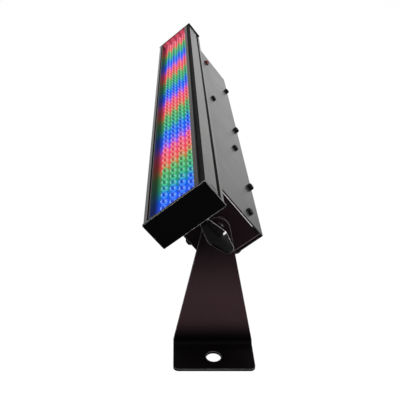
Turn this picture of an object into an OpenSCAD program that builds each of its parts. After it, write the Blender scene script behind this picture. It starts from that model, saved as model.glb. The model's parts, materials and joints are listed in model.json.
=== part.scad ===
// LED strip batten. A light bar with 48 rows of LEDs has a driver box behind it, and the pair
// tilts between two floor brackets that are clamped by hand knobs.
// The origin is on the floor, midway between the two foot holes. X runs along the bar, Z is up.

/* [Light bar] */
// Length over the end caps
bar_len = 1000; // [800:1:1250]
// Depth of the light housing, front to back
bar_d = 46; // [42:0.5:60]
// Wall of the extruded light housing
bar_wall = 2; // [1.5:0.1:3]
// Distance from the bar's middle to the driver box's middle, along X
bar_shift = -24; // [-40:1:40]
// Width of the plain lip along the left front edge
lip_w = 5.4; // [4:0.1:8]
// Slot between the left lip and the LED tray
lip_gap = 3.05; // [1:0.1:4]
// Width of the tray's flange along the right side of the opening
flange_w = 5.35; // [3:0.1:10]
// Width of the rubber corner strip, on the front face
strip_w = 6.6; // [5:0.1:10]
// Height of the rubber corner strip, on the side face
strip_h = 5.9; // [4:0.1:8]
// Height of the housing's back lip, below the side groove
groove_base = 6.1; // [5:0.1:9]
// Opening of the side groove
groove_w = 7.6; // [4:0.1:9]
// Depth of the side groove
groove_deep = 5; // [2:0.1:6]

/* [LEDs] */
// LED pitch along the bar
led_pitch_x = 20.5; // [16:0.1:30]
// LED pitch across the bar
led_pitch_y = 16.2; // [15:0.1:22]
// LED columns across the bar
led_cols = 4; // [2:1:6]
// LED rows in one colour segment
segment_rows = 4; // [1:1:8]
// Diameter of an LED lens at its foot
lens_d = 14; // [8:0.1:15]
// Height of an LED lens above its board
lens_h = 8; // [5:0.1:10]
// Diameter of the dimple in the top of a lens
dimple_d = 4.4; // [2:0.1:6]
// Space between the outer LED cells and the tray's walls
tray_margin = 5; // [3:0.05:9]
// Depth of the tray, from the front edge to the LED boards
tray_depth = 17; // [14:0.5:24]
// Sheet of the LED tray
tray_wall = 1.5; // [1:0.1:2.5]
// Thickness of every circuit board
board_t = 1.6; // [1:0.1:2.4]

/* [End caps] */
// Thickness of an end cap
cap_t = 3; // [2:0.1:6]
// How far a cap stands proud of the housing's sides
cap_proud = 2.8; // [0.5:0.1:5]
// Depth of the caps' tongues inside the housing
tongue_len = 24; // [14:0.5:40]
// Width of the caps' tongues
tongue_w = 12; // [8:0.5:14]

/* [Driver box] */
// Length of the driver box
box_len = 808; // [700:1:900]
// Width of the driver box
box_w = 90; // [80:0.5:98]
// Depth of the driver box
box_d = 106; // [96:0.5:125]
// Sheet of the driver box
box_wall = 1.5; // [1:0.1:2.5]
// Thickness of the end panels that carry the pivots
panel_t = 3; // [2:0.1:5]
// How far the end panels sit inside the ends of the box
panel_inset = 2; // [1:0.1:4]
// Length of the folded flanges on the end panels and on the back cover
flange_len = 18; // [14:0.5:24]
// Distance from the back to the row of back cover screws
cover_row = 7; // [6:0.1:12]
// Spacing of the back cover screws
cover_pitch = 268; // [200:1:300]

/* [Brackets] */
// Height of the tilt axis above the floor
pivot_z = 210; // [180:1:260]
// Tilt of the light away from straight up, as stood
tilt = 39; // [0:1:90]
// Thickness of a bracket
bracket_t = 4; // [3:0.1:6]
// Width of a bracket's foot
foot_w = 124; // [100:1:160]
// Length of a bracket's foot
foot_len = 64; // [50:1:80]
// Corner radius of a foot
foot_r = 8; // [2:0.5:20]
// Inside radius of the bracket's bend
bend_r = 5; // [3:0.5:10]
// Radius of the bracket's round top
top_r = 20; // [16:0.5:26]
// Diameter of the fixing hole in a foot
foot_hole_d = 23; // [10:0.5:30]
// Distance from the foot's front edge to the middle of its hole
foot_hole_in = 28; // [20:0.5:34]

/* [Knobs] */
// Diameter of the clamping stud
stud_d = 8; // [6:0.5:10]
// Diameter of a knob's hub
hub_d = 30; // [24:0.5:34]
// Length of a knob, tip to tip over its wings
knob_len = 68; // [50:1:76]
// Diameter of a knob's wing tips
wing_d = 17; // [10:0.5:20]
// Height of a knob from its washer to its face
knob_t = 27; // [18:0.5:32]
// Height of the plain collar under a knob's wings
collar_t = 9; // [4:0.5:12]

/* [Controls and sockets] */
// Position of the menu controls along the box
control_x = 200; // [160:1:260]
// Spacing of the menu buttons
button_pitch = 14; // [11:0.5:16]
// Diameter of a menu button
button_d = 7; // [5:0.1:9]
// Travel of a menu button
button_travel = 0.8; // [0.4:0.1:1.5]
// Position of the power inlet along the box
inlet_x = -345; // [-350:1:-335]
// Position of the power outlet along the box
outlet_x = -300; // [-305:1:-296]
// Position of the fuse holder along the box
fuse_x = -262; // [-268:1:-258]
// Position of the data inlet along the box
data_in_x = -215; // [-224:1:-208]
// Position of the data outlet along the box
data_out_x = -165; // [-175:1:-158]
// Position of the red lamp along the box
lamp_x = -332; // [-340:1:-310]
// Diameter of the red lamp's lens
lamp_d = 11.5; // [8:0.5:14]

/* [Fits] */
// Gap between parts that move against each other on flat faces
face_gap = 0.1; // [0.05:0.05:0.3]
// Radial clearance of a shaft in its hole
shaft_gap = 0.08; // [0.05:0.01:0.1]
// Radial clearance of a button in its hole
slide_gap = 0.3; // [0.3:0.05:0.5]
// Clearance between folded sheets that nest
sheet_gap = 0.2; // [0.1:0.05:0.4]

/* [Hidden] */
$fn = 48;
eps = 0.5;

// Cross-section of the light bar, with y across it and z forward from the pivot
tray_w = led_cols * led_pitch_y + 2 * tray_margin;
left_edge = lip_w + lip_gap + tray_wall;
right_edge = tray_wall + flange_w + sheet_gap + strip_w;
bar_w = tray_w + left_edge + right_edge;
back_z = box_d / 2;
front_z = back_z + bar_d;
tray_y0 = -bar_w / 2 + left_edge;
tray_y1 = tray_y0 + tray_w;
tray_mid = (tray_y0 + tray_y1) / 2;
board_top_z = front_z - tray_depth;
tray_floor_z = board_top_z - board_t;
ledge_t = 2;
ledge_reach = 5;
rail_w = 7.2;

// Along the bar
bar_x0 = bar_shift - bar_len / 2;
bar_x1 = bar_shift + bar_len / 2;
housing_len = bar_len - 2 * cap_t;
tray_len = housing_len - 2 * sheet_gap;
segment_len = segment_rows * led_pitch_x;
segments = floor((tray_len - 2 * tray_wall) / segment_len);
segments_x1 = bar_shift + segments * segment_len / 2;
board_gap = 0.6;
screw_rows = [1, segment_rows - 1];
cap_w = bar_w + 2 * cap_proud;
cap_r = 1.5;
tongue_t = 2;
tongue_z = back_z + groove_base + groove_w + bar_wall + 0.6;
slot_w = 3;
slot_in = 22;

// Driver box
box_half = box_len / 2;
panel_x = box_half - panel_inset;
inner_y = box_w / 2 - box_wall;
cover_z = -box_d / 2 + box_wall;
screw_d = 4;
head_d = 8;
head_h = 2.6;
outer_head_d = 12;
outer_head_h = 4.5;
cover_head_h = 6;
back_head_h = 3;
slot_depth = 1.2;
slot_t = 1.2;
cover_mid_x = -14;
cover_screw_x = [for (i = [-1 : 1]) cover_mid_x + i * cover_pitch];
board_row_z = -25;
board_screw_x = [121, 371];
earth_x = -54;
earth_z = 25;
psu_screw_x = [-85, 85];
psu_screw_z = [board_row_z, earth_z];
panel_screw_in = 7.5;
panel_screw_z = 4;

// Brackets and clamps, from the end panel outwards
disc_d = 34;
disc_t = 2;
bracket_x = panel_x + disc_t + face_gap;
washer_d = 24;
washer_t = 1.5;
collar_d = 22;
washer_x = bracket_x + bracket_t + face_gap;
knob_x = washer_x + washer_t;
foot_x1 = bracket_x + foot_len;
foot_hole_x = foot_x1 - foot_hole_in;
boss_d = 18;
boss_len = 14;
stud_out = 18;

// Inside the box
psu_len = 200;
psu_h = 77;
psu_w = 38;
psu_sheet = 1;
psu_z0 = -30;
standoff_len = 12;
standoff_d = 8;
driver_len = 265;
driver_z0 = -30;
driver_h = box_d / 2 - box_wall - driver_z0 - 4;
driver_y = inner_y - standoff_len;
grommet_d = 16;
grommet_x = 105;
socket_r = 13;

// Controls on the back cover
plate_len = 110;
plate_w = 44;
plate_t = 1.5;
plate_z = -box_d / 2 - plate_t;
window_len = 36;
window_w = 16;
window_x = control_x - 28;
buttons_x = control_x + 4;
control_gap = 9;
control_board_z = cover_z + control_gap;
button_stand = 1.6;

// Places its children, drawn about the pivot with the light facing up, at the stood tilt
module tilted() {
    translate([0, 0, pivot_z]) rotate([tilt, 0, 0]) children();
}

// Extrudes a cross-section in y and z along X
module along_x(x0, len) {
    translate([x0, 0, 0]) rotate([90, 0, 90]) linear_extrude(len) children();
}

// Draws its children on the right end and mirrored on the left end of the box
module each_end() {
    children();
    mirror([1, 0, 0]) children();
}

// A cylinder along X
module rod_x(x0, len, d) {
    translate([x0, 0, 0]) rotate([0, 90, 0]) cylinder(d = d, h = len);
}

// A rectangle with round corners, centred
module rounded(w, h, r) {
    square([w - 2 * r, h], center = true);
    square([w, h - 2 * r], center = true);
    for (sx = [-1, 1], sy = [-1, 1])
        translate([sx * (w / 2 - r), sy * (h / 2 - r)]) circle(r);
}

// A pan head screw with a cross slot, its head standing on z = 0 and its shank below
module pan_screw(shank_d, shank_len, d = head_d, h = head_h) {
    crown = min(1.6, h * 0.4);
    difference() {
        union() {
            cylinder(d = d, h = h - crown);
            translate([0, 0, h - crown]) cylinder(d1 = d, d2 = d - 2 * crown, h = crown);
        }
        for (a = [0, 90]) rotate([0, 0, a])
            translate([-d / 4, -slot_t / 2, h - slot_depth]) cube([d / 2, slot_t, slot_depth + eps]);
    }
    translate([0, 0, -shank_len]) cylinder(d = shank_d, h = shank_len);
}

// Places its children on the box's side at (x, z), z outwards; side is 1 right, -1 left
module on_side(side, x, z) {
    translate([x, side * box_w / 2, z]) rotate([-90 * side, 0, 0]) children();
}

// Places its children on the back cover at (x, y), z outwards
module on_back(x, y = 0) {
    translate([x, y, -box_d / 2]) rotate([180, 0, 0]) children();
}

// ---- Brackets and clamps ----

// Outline of the bracket's plate seen along X
module bracket_outline() {
    bend_z = bend_r + bracket_t;
    reach = norm([foot_w / 2, pivot_z - bend_z]);
    lean = acos(top_r / reach) - atan2(pivot_z - bend_z, foot_w / 2);
    tangent = [top_r * cos(lean), pivot_z + top_r * sin(lean)];
    polygon([[-foot_w / 2, 0], [foot_w / 2, 0], [foot_w / 2, bend_z], tangent,
        [-tangent[0], tangent[1]], [-foot_w / 2, bend_z]]);
    translate([0, pivot_z]) circle(top_r);
}

// Section of the bent strip seen along Y, with the plate at x = 0 and the foot towards +x
module bracket_section() {
    bend_out = bend_r + bracket_t;
    translate([0, bend_out]) square([bracket_t, pivot_z + top_r]);
    translate([bend_out, 0]) square([foot_len - bend_out, bracket_t]);
    intersection() {
        square(bend_out);
        translate([bend_out, bend_out]) difference() {
            circle(bend_out);
            circle(bend_r);
        }
    }
}

module bracket() {
    translate([bracket_x, 0, 0]) difference() {
        intersection() {
            translate([0, foot_w / 2, 0]) rotate([90, 0, 0]) linear_extrude(foot_w) bracket_section();
            along_x(0, foot_len) bracket_outline();
            linear_extrude(pivot_z + top_r) translate([foot_len - foot_w / 2, 0])
                rounded(foot_w, foot_w, foot_r);
        }
        translate([0, 0, pivot_z]) rod_x(-eps, bracket_t + 2 * eps, stud_d + 2 * shaft_gap);
        translate([foot_hole_x - bracket_x, 0, -eps]) cylinder(d = foot_hole_d, h = bracket_t + 2 * eps);
    }
}

module right_bracket() {
    color([0.11, 0.09, 0.09]) bracket();
}

module left_bracket() {
    color([0.11, 0.09, 0.09]) mirror([1, 0, 0]) bracket();
}

// Two-winged hand knob; the wings lie along the depth of the box
module knob() {
    wing_at = (knob_len - wing_d) / 2;
    wing_t = wing_d * 0.7;
    difference() {
        union() {
            rod_x(knob_x, collar_t + eps, collar_d);
            rod_x(knob_x + collar_t, knob_t - collar_t, hub_d);
            translate([knob_x + collar_t, -wing_t / 2, -wing_at])
                cube([knob_t - collar_t - 2, wing_t, 2 * wing_at]);
            for (s = [-1, 1]) translate([0, 0, s * wing_at])
                rod_x(knob_x + collar_t, knob_t - collar_t - 2, wing_d);
        }
        rod_x(knob_x - eps, stud_out + 2 * eps, stud_d + 2 * shaft_gap);
    }
}

module right_knob() {
    color([0.02, 0.02, 0.02]) tilted() knob();
}

module left_knob() {
    color([0.02, 0.02, 0.02]) tilted() mirror([1, 0, 0]) knob();
}

module stud() {
    stud_in = panel_t + boss_len - 1;
    rod_x(panel_x - stud_in, knob_x + stud_out - panel_x + stud_in, stud_d);
}

module right_stud() {
    color([0.6, 0.6, 0.62]) tilted() stud();
}

module left_stud() {
    color([0.6, 0.6, 0.62]) tilted() mirror([1, 0, 0]) stud();
}

module washer() {
    difference() {
        rod_x(washer_x, washer_t, washer_d);
        rod_x(washer_x - eps, washer_t + 2 * eps, stud_d + 2 * shaft_gap);
    }
}

module right_washer() {
    color([0.6, 0.6, 0.62]) tilted() washer();
}

module left_washer() {
    color([0.6, 0.6, 0.62]) tilted() mirror([1, 0, 0]) washer();
}

module friction_discs() {
    color([0.05, 0.05, 0.05]) tilted() each_end() difference() {
        rod_x(panel_x, disc_t, disc_d);
        rod_x(panel_x - eps, disc_t + 2 * eps, stud_d + 2 * shaft_gap);
    }
}

module pivot_bosses() {
    color([0.5, 0.5, 0.52]) tilted() each_end() difference() {
        rod_x(panel_x - panel_t - boss_len, boss_len, boss_d);
        rod_x(panel_x - panel_t - boss_len - eps, boss_len + 2 * eps, stud_d + 2 * shaft_gap);
    }
}

// ---- Light bar ----

// Extruded housing: open front, thick rails at its corners, a groove in each side, tray ledges
module housing_section() {
    ledge_z = tray_floor_z - tray_wall - ledge_t;
    difference() {
        union() {
            difference() {
                translate([-bar_w / 2, back_z]) square([bar_w, bar_d]);
                translate([-bar_w / 2 + bar_wall, back_z + bar_wall])
                    square([bar_w - 2 * bar_wall, bar_d]);
            }
            translate([-bar_w / 2, front_z - strip_h]) square([lip_w, strip_h]);
            for (s = [0, 1]) mirror([s, 0]) {
                translate([bar_w / 2 - rail_w, back_z])
                    square([rail_w, groove_base + groove_w + bar_wall]);
                translate([bar_w / 2 - rail_w, front_z - strip_h - rail_w])
                    square([rail_w, rail_w]);
            }
            translate([-bar_w / 2, ledge_z]) square([left_edge + ledge_reach, ledge_t]);
            translate([tray_y1 - ledge_reach, ledge_z]) square([right_edge + ledge_reach, ledge_t]);
        }
        translate([bar_w / 2 - strip_w, front_z - strip_h]) square([strip_w + eps, strip_h + eps]);
        for (s = [0, 1]) mirror([s, 0]) {
            translate([bar_w / 2 - groove_deep, back_z + groove_base])
                square([groove_deep + eps, groove_w]);
        }
    }
}

module light_housing() {
    color([0.12, 0.12, 0.12]) tilted() difference() {
        along_x(bar_x0 + cap_t, housing_len) housing_section();
        for (s = [-1, 1]) {
            translate([bar_shift + s * (bar_len / 2 - slot_in) - slot_w / 2, -bar_w, tongue_z])
                cube([slot_w, 2 * bar_w, tongue_w]);
            translate([bar_shift + s * (housing_len - tongue_len) / 2 - tongue_len / 2 - 1,
                    bar_wall - bar_w / 2, tongue_z])
                cube([tongue_len + 2, bar_w - 2 * bar_wall, tongue_w]);
        }
        translate([grommet_x, 0, back_z - eps]) cylinder(d = grommet_d, h = bar_wall + 2 * eps);
        housing_screw_holes(back_z - eps, bar_wall + 2 * eps);
    }
}

module led_tray() {
    floor_z = tray_floor_z - tray_wall;
    color([0.16, 0.16, 0.17]) tilted() difference() {
        union() {
            along_x(bar_shift - tray_len / 2, tray_len) {
                translate([tray_y0 - tray_wall, floor_z]) square([tray_w + 2 * tray_wall, tray_wall]);
                translate([tray_y0 - tray_wall, floor_z]) square([tray_wall, front_z - floor_z]);
                translate([tray_y1, floor_z]) square([tray_wall, front_z - floor_z]);
                translate([tray_y1, front_z - tray_wall]) square([tray_wall + flange_w, tray_wall]);
            }
            for (s = [-1, 1]) translate([bar_shift + s * (tray_len - tray_wall) / 2 - tray_wall / 2,
                    tray_y0 - tray_wall, floor_z])
                cube([tray_wall, tray_w + 2 * tray_wall, front_z - floor_z]);
        }
        board_screw_places() translate([0, 0, floor_z - eps]) cylinder(d = 2.6, h = tray_wall + 2 * eps);
        translate([grommet_x, tray_mid, floor_z - eps]) cylinder(d = 10, h = tray_wall + 2 * eps);
    }
}

// Segment k counts from the right end; its row r lies in the segment
function row_x(k, r) = segments_x1 - k * segment_len - (r + 0.5) * led_pitch_x;
function col_y(c) = tray_mid + (c - (led_cols - 1) / 2) * led_pitch_y;

module board_screw_places() {
    for (k = [0 : segments - 1], r = screw_rows)
        translate([segments_x1 - k * segment_len - r * led_pitch_x, tray_mid, 0]) children();
}

module led_boards() {
    color([0.1, 0.1, 0.11]) tilted() difference() {
        for (k = [0 : segments - 1])
            translate([segments_x1 - (k + 1) * segment_len + board_gap / 2, tray_y0 + board_gap, tray_floor_z])
                cube([segment_len - board_gap, tray_w - 2 * board_gap, board_t]);
        board_screw_places() translate([0, 0, tray_floor_z - eps]) cylinder(d = 2.6, h = board_t + 2 * eps);
    }
}

module board_screws() {
    color([0.5, 0.5, 0.5]) tilted() board_screw_places() {
        translate([0, 0, board_top_z]) cylinder(d = 4.4, h = 1.4);
        translate([0, 0, board_top_z - 5]) cylinder(d = 2.4, h = 5);
    }
}

// Domed lens with a round foot and a dimple in its top
module lens() {
    foot_h = 1.2;
    dome_r = lens_d / 2 - 0.5;
    cap_h = lens_h - 3;
    ball_r = (dome_r * dome_r + cap_h * cap_h) / (2 * cap_h);
    rotate_extrude() difference() {
        union() {
            square([lens_d / 2, foot_h]);
            square([dome_r, lens_h - cap_h]);
            intersection() {
                translate([0, lens_h - ball_r]) circle(ball_r);
                translate([0, lens_h - cap_h]) square([dome_r, cap_h]);
            }
        }
        translate([0, lens_h + dimple_d / 4]) circle(d = dimple_d);
    }
}

// LEDs of every third segment, the first one counted from the right end
module leds(first) {
    tilted() for (k = [first : 3 : segments - 1], r = [0 : segment_rows - 1], c = [0 : led_cols - 1])
        translate([row_x(k, r), col_y(c), board_top_z]) lens();
}

module leds_blue() {
    color([0.05, 0.4, 1]) leds(0);
}

module leds_green() {
    color([0.3, 0.8, 0.45]) leds(1);
}

module leds_red() {
    color([1, 0.35, 0.4]) leds(2);
}

module corner_strip() {
    rib_t = 0.8;
    color([0.03, 0.03, 0.03]) tilted() along_x(bar_x0 + cap_t, housing_len)
        translate([bar_w / 2 - strip_w, front_z - strip_h]) difference() {
            square([strip_w, strip_h]);
            translate([strip_w / 3, strip_h - rib_t]) square([rib_t, rib_t + eps]);
            translate([strip_w - rib_t, strip_h / 3]) square([rib_t + eps, rib_t]);
        }
}

// The right end's cap, drawn with its inner face at x = 0
module end_cap() {
    tongue_y = bar_w / 2 - bar_wall - sheet_gap - tongue_t;
    hook_t = bar_wall + sheet_gap - 0.3;
    along_x(0, cap_t) translate([0, back_z + bar_d / 2]) rounded(cap_w, bar_d, cap_r);
    for (s = [-1, 1]) {
        translate([-tongue_len, s * (tongue_y + tongue_t / 2) - tongue_t / 2, tongue_z + sheet_gap])
            cube([tongue_len, tongue_t, tongue_w - 2 * sheet_gap]);
        translate([cap_t - slot_in - slot_w / 2 + sheet_gap,
                s * (bar_w / 2 - 0.8 - hook_t / 2) - hook_t / 2, tongue_z + sheet_gap])
            cube([slot_w - 2 * sheet_gap, hook_t, tongue_w - 2 * sheet_gap]);
    }
}

module right_end_cap() {
    color([0.02, 0.02, 0.02]) tilted() translate([bar_x1 - cap_t, 0, 0]) end_cap();
}

module left_end_cap() {
    color([0.02, 0.02, 0.02]) tilted() translate([bar_x0 + cap_t, 0, 0]) mirror([1, 0, 0]) end_cap();
}

// ---- Driver box ----

module housing_screw_places() {
    for (x = [-box_half + 40, -110, 60, box_half - 40], s = [-1, 1])
        translate([x, s * 22, 0]) children();
}

module housing_screw_holes(z0, h) {
    housing_screw_places() translate([0, 0, z0]) cylinder(d = screw_d + 0.2, h = h);
}

module housing_screws() {
    color([0.5, 0.5, 0.5]) tilted() housing_screw_places()
        translate([0, 0, back_z - box_wall]) rotate([180, 0, 0]) pan_screw(screw_d, box_wall + bar_wall + 2);
}

// Screws through one side of the box that hold the back cover
module cover_screw_places(side) {
    for (x = cover_screw_x) on_side(side, x, -box_d / 2 + cover_row) children();
}

// The other screws on one side of the box
module side_screw_places(side) {
    if (side > 0) {
        for (x = board_screw_x) on_side(side, x, board_row_z) children();
        on_side(side, earth_x, earth_z) children();
    } else {
        for (x = psu_screw_x, z = psu_screw_z) on_side(side, x, z) children();
    }
    for (s = [-1, 1]) if (side < 0)
        on_side(side, s * (box_half - panel_screw_in), panel_screw_z) children();
}

module side_screw_hole() {
    translate([0, 0, -box_wall - eps]) cylinder(d = screw_d + 0.2, h = box_wall + 2 * eps);
}

module box_channel() {
    color([0.14, 0.13, 0.13]) tilted() difference() {
        along_x(-box_half, box_len) difference() {
            translate([-box_w / 2, cover_z]) square([box_w, box_d - box_wall]);
            translate([-inner_y, cover_z - eps]) square([2 * inner_y, box_d - 2 * box_wall + eps]);
        }
        for (side = [-1, 1]) {
            cover_screw_places(side) side_screw_hole();
            side_screw_places(side) side_screw_hole();
        }
        translate([grommet_x, 0, back_z - box_wall - eps]) cylinder(d = grommet_d, h = box_wall + 2 * eps);
        housing_screw_holes(back_z - box_wall - eps, box_wall + 2 * eps);
        on_side(1, lamp_x, lamp_z) translate([0, 0, -box_wall - eps])
            cylinder(d = lamp_hole_d, h = box_wall + 2 * eps);
    }
}

module back_cover() {
    flange_y = inner_y - sheet_gap;
    color([0.14, 0.13, 0.13]) tilted() difference() {
        union() {
            translate([-box_half, -box_w / 2, -box_d / 2]) cube([box_len, box_w, box_wall]);
            for (s = [0, 1]) mirror([0, s, 0])
                translate([-box_half + flange_len + 8, flange_y - box_wall, -box_d / 2])
                    cube([box_len - 2 * flange_len - 16, box_wall, flange_len]);
        }
        for (side = [-1, 1]) cover_screw_places(side)
            translate([0, 0, -2 * box_wall - 1]) cylinder(d = screw_d + 0.2, h = 2 * box_wall + 1);
        panel_screw_places() translate([0, 0, -box_wall - eps]) cylinder(d = screw_d + 0.2, h = 4);
        socket_hole(inlet_x, inlet_len, inlet_w);
        socket_hole(outlet_x, inlet_len, inlet_w);
        for (x = [data_in_x, data_out_x]) on_back(x)
            translate([0, 0, -box_wall - eps]) cylinder(d = data_d, h = box_wall + 2 * eps);
        on_back(fuse_x) translate([0, 0, -box_wall - eps]) cylinder(d = fuse_d, h = box_wall + 2 * eps);
        on_back(window_x) translate([-window_len / 2, -window_w / 2, -box_wall - eps])
            cube([window_len, window_w, box_wall + 2 * eps]);
        for (i = [0 : 3]) on_back(button_x(i))
            translate([0, 0, -box_wall - eps]) cylinder(d = button_d + 2 * slide_gap, h = box_wall + 2 * eps);
    }
}

module panel_screw_places() {
    for (s = [-1, 1]) on_back(s * (box_half - panel_screw_in)) children();
}

// Panel with folded side and back flanges, and its pivot hole
module end_panel() {
    w = 2 * (inner_y - sheet_gap);
    z0 = cover_z + sheet_gap;
    h = back_z - box_wall - sheet_gap - z0;
    fold = flange_len;
    difference() {
        union() {
            translate([panel_x - panel_t, -w / 2, z0]) cube([panel_t, w, h]);
            for (s = [0, 1]) mirror([0, s, 0])
                translate([panel_x - fold, w / 2 - box_wall, z0]) cube([fold, box_wall, h]);
            translate([panel_x - fold, -w / 2, z0]) cube([fold, w, box_wall]);
        }
        rod_x(panel_x - panel_t - eps, panel_t + 2 * eps, stud_d + 2 * shaft_gap);
        on_side(-1, box_half - panel_screw_in, panel_screw_z)
            translate([0, 0, -6]) cylinder(d = screw_d + 0.2, h = 6);
        on_back(box_half - panel_screw_in) translate([0, 0, -6]) cylinder(d = screw_d + 0.2, h = 6);
    }
}

module right_end_panel() {
    color([0.1, 0.06, 0.08]) tilted() end_panel();
}

module left_end_panel() {
    color([0.1, 0.06, 0.08]) tilted() mirror([1, 0, 0]) end_panel();
}

module side_screws() {
    color([0.05, 0.05, 0.05]) tilted() for (side = [-1, 1]) {
        cover_screw_places(side) pan_screw(screw_d, 5.4, outer_head_d, cover_head_h);
        side_screw_places(side) pan_screw(screw_d, 5.4, outer_head_d, outer_head_h);
    }
}

module panel_screws() {
    color([0.05, 0.05, 0.05]) tilted() panel_screw_places()
        pan_screw(screw_d, 5.4, outer_head_d, back_head_h);
}

// ---- Inside the driver box ----

module psu_case() {
    vent_w = 3;
    color([0.75, 0.76, 0.77]) tilted() difference() {
        translate([-psu_len / 2, -inner_y, psu_z0]) cube([psu_len, psu_w, psu_h]);
        translate([-psu_len / 2 + psu_sheet, -inner_y + psu_sheet, psu_z0 + psu_sheet])
            cube([psu_len - 2 * psu_sheet, psu_w - 2 * psu_sheet, psu_h - 2 * psu_sheet]);
        for (i = [-4 : 4]) translate([i * 18, -inner_y + psu_w - psu_sheet - eps, psu_z0 + 14])
            cube([vent_w, psu_sheet + 2 * eps, psu_h - 28]);
        for (x = psu_screw_x, z = psu_screw_z) on_side(-1, x, z)
            translate([0, 0, -6]) cylinder(d = screw_d + 0.2, h = 6);
    }
}

module psu_board() {
    y0 = -inner_y + 8;
    color([0.1, 0.3, 0.15]) tilted() {
        translate([-psu_len / 2 + 4, y0, psu_z0 + 4]) cube([psu_len - 8, board_t, psu_h - 8]);
        for (x = [-psu_len / 2 + 24, psu_len / 2 - 32], z = [psu_z0 + 8, psu_z0 + psu_h - 14])
            translate([x, -inner_y + psu_sheet, z]) cube([8, y0 + inner_y - psu_sheet, 6]);
        translate([-30, y0 + board_t, psu_z0 + 20]) cube([34, 24, 34]);
        for (x = [20, 40]) translate([x, y0 + board_t, psu_z0 + psu_h / 2]) rotate([-90, 0, 0])
            cylinder(d = 16, h = 24);
        translate([60, y0 + board_t, psu_z0 + 16]) cube([30, 16, 46]);
        translate([-88, y0 + board_t, psu_z0 + 16]) cube([18, 20, 46]);
    }
}

// Driver board for one half of the bar, drawn on the +x half
module driver_board() {
    x0 = board_screw_x[0] - 7;
    difference() {
        translate([x0, driver_y - board_t, driver_z0]) cube([driver_len, board_t, driver_h]);
        for (x = board_screw_x) translate([x, driver_y + eps, board_row_z])
            rotate([90, 0, 0]) cylinder(d = 3.2, h = board_t + 2 * eps);
    }
    for (i = [0 : 5]) translate([x0 + 24 + i * 40, driver_y - board_t - 8, driver_z0 + 20])
        cube([14, 8, 12]);
    for (i = [0 : 5]) translate([x0 + 30 + i * 40, driver_y - board_t, driver_z0 + 50])
        rotate([90, 0, 0]) cylinder(d = 10, h = 12);
    translate([x0 + 100, driver_y - board_t - 3, driver_z0 + 36]) cube([24, 3, 8]);
}

module right_driver_board() {
    color([0.1, 0.35, 0.15]) tilted() driver_board();
}

module left_driver_board() {
    color([0.1, 0.35, 0.15]) tilted() mirror([1, 0, 0]) driver_board();
}

module board_standoffs() {
    color([0.8, 0.7, 0.3]) tilted() each_end() for (x = board_screw_x)
        translate([x, inner_y, board_row_z]) rotate([90, 0, 0]) {
            difference() {
                cylinder(d = standoff_d, h = standoff_len);
                translate([0, 0, -eps]) cylinder(d = screw_d + 0.2, h = 5);
            }
            translate([0, 0, standoff_len]) cylinder(d = 3, h = board_t + 0.8);
        }
}

// Rails under the channel's web that hold the upper edges of the driver boards
module card_rails() {
    card_rail_w = 6;
    card_rail_h = 6;
    groove_t = board_t + 2 * sheet_gap;
    color([0.1, 0.1, 0.1]) tilted() each_end()
        along_x(board_screw_x[0] - 5, driver_len - 10)
            translate([driver_y - (board_t + card_rail_w) / 2, back_z - box_wall - card_rail_h])
            difference() {
                square([card_rail_w, card_rail_h]);
                translate([(card_rail_w - groove_t) / 2, -eps]) square([groove_t, card_rail_h - 2 + eps]);
            }
}

// ---- Controls ----

function button_x(i) = buttons_x + i * button_pitch;

module control_plate() {
    color([0.1, 0.1, 0.11]) tilted() on_back(control_x) difference() {
        linear_extrude(plate_t) rounded(plate_len, plate_w, 3);
        translate([window_x - control_x - window_len / 2, -window_w / 2, -eps])
            cube([window_len, window_w, plate_t + 2 * eps]);
        for (i = [0 : 3]) translate([button_x(i) - control_x, 0, -eps])
            cylinder(d = button_d + 2 * slide_gap, h = plate_t + 2 * eps);
    }
}

module display_window() {
    color([0.15, 0.02, 0.02]) tilted() on_back(window_x)
        translate([-window_len / 2 + 0.1, -window_w / 2 + 0.1, -box_wall])
            cube([window_len - 0.2, window_w - 0.2, box_wall + plate_t - 0.3]);
}

// Board behind the plate, with the display block, four switches and two posts to the cover
module control_board() {
    display_h = control_gap - board_t - 0.2;
    switch_h = 4;
    color([0.1, 0.35, 0.15]) tilted() {
        translate([control_x - plate_len / 2 + 4, -plate_w / 2 + 4, control_board_z - board_t])
            cube([plate_len - 8, plate_w - 8, board_t]);
        translate([window_x - window_len / 2 + 1, -window_w / 2 + 1, control_board_z - board_t - display_h])
            cube([window_len - 2, window_w - 2, display_h]);
        for (i = [0 : 3]) translate([button_x(i) - 3, -3, control_board_z - board_t - switch_h])
            cube([6, 6, switch_h]);
        for (sx = [-1, 1], sy = [-1, 1])
            translate([control_x + sx * (plate_len / 2 - 8), sy * (plate_w / 2 - 8), cover_z])
                cylinder(d = 5, h = control_gap - board_t);
    }
}

// A button stands proud of the plate; its skirt inside keeps it in
module menu_button(i) {
    skirt_t = 1;
    under = control_gap - board_t - 4 - button_travel - 0.2;
    color([0.75, 0.75, 0.77]) tilted() on_back(button_x(i)) {
        translate([0, 0, -box_wall - under])
            cylinder(d = button_d, h = box_wall + under + plate_t + button_stand);
        translate([0, 0, -box_wall - face_gap - skirt_t]) cylinder(d = button_d + 2, h = skirt_t);
    }
}

module menu_button_1() {
    menu_button(0);
}

module menu_button_2() {
    menu_button(1);
}

module menu_button_3() {
    menu_button(2);
}

module menu_button_4() {
    menu_button(3);
}

// ---- Sockets ----

inlet_len = 27;
inlet_w = 20;
inlet_rim = 2;
inlet_deep = 17;
data_d = 22;
data_rim = 2;
data_deep = 18;
fuse_d = 13;
lamp_z = 28;
lamp_rim = 1.5;
lamp_deep = 9;
lamp_hole_d = lamp_d + 0.2;

module socket_hole(x, len, w) {
    on_back(x) translate([-len / 2, -w / 2, -box_wall - eps]) cube([len, w, box_wall + 2 * eps]);
}

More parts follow.
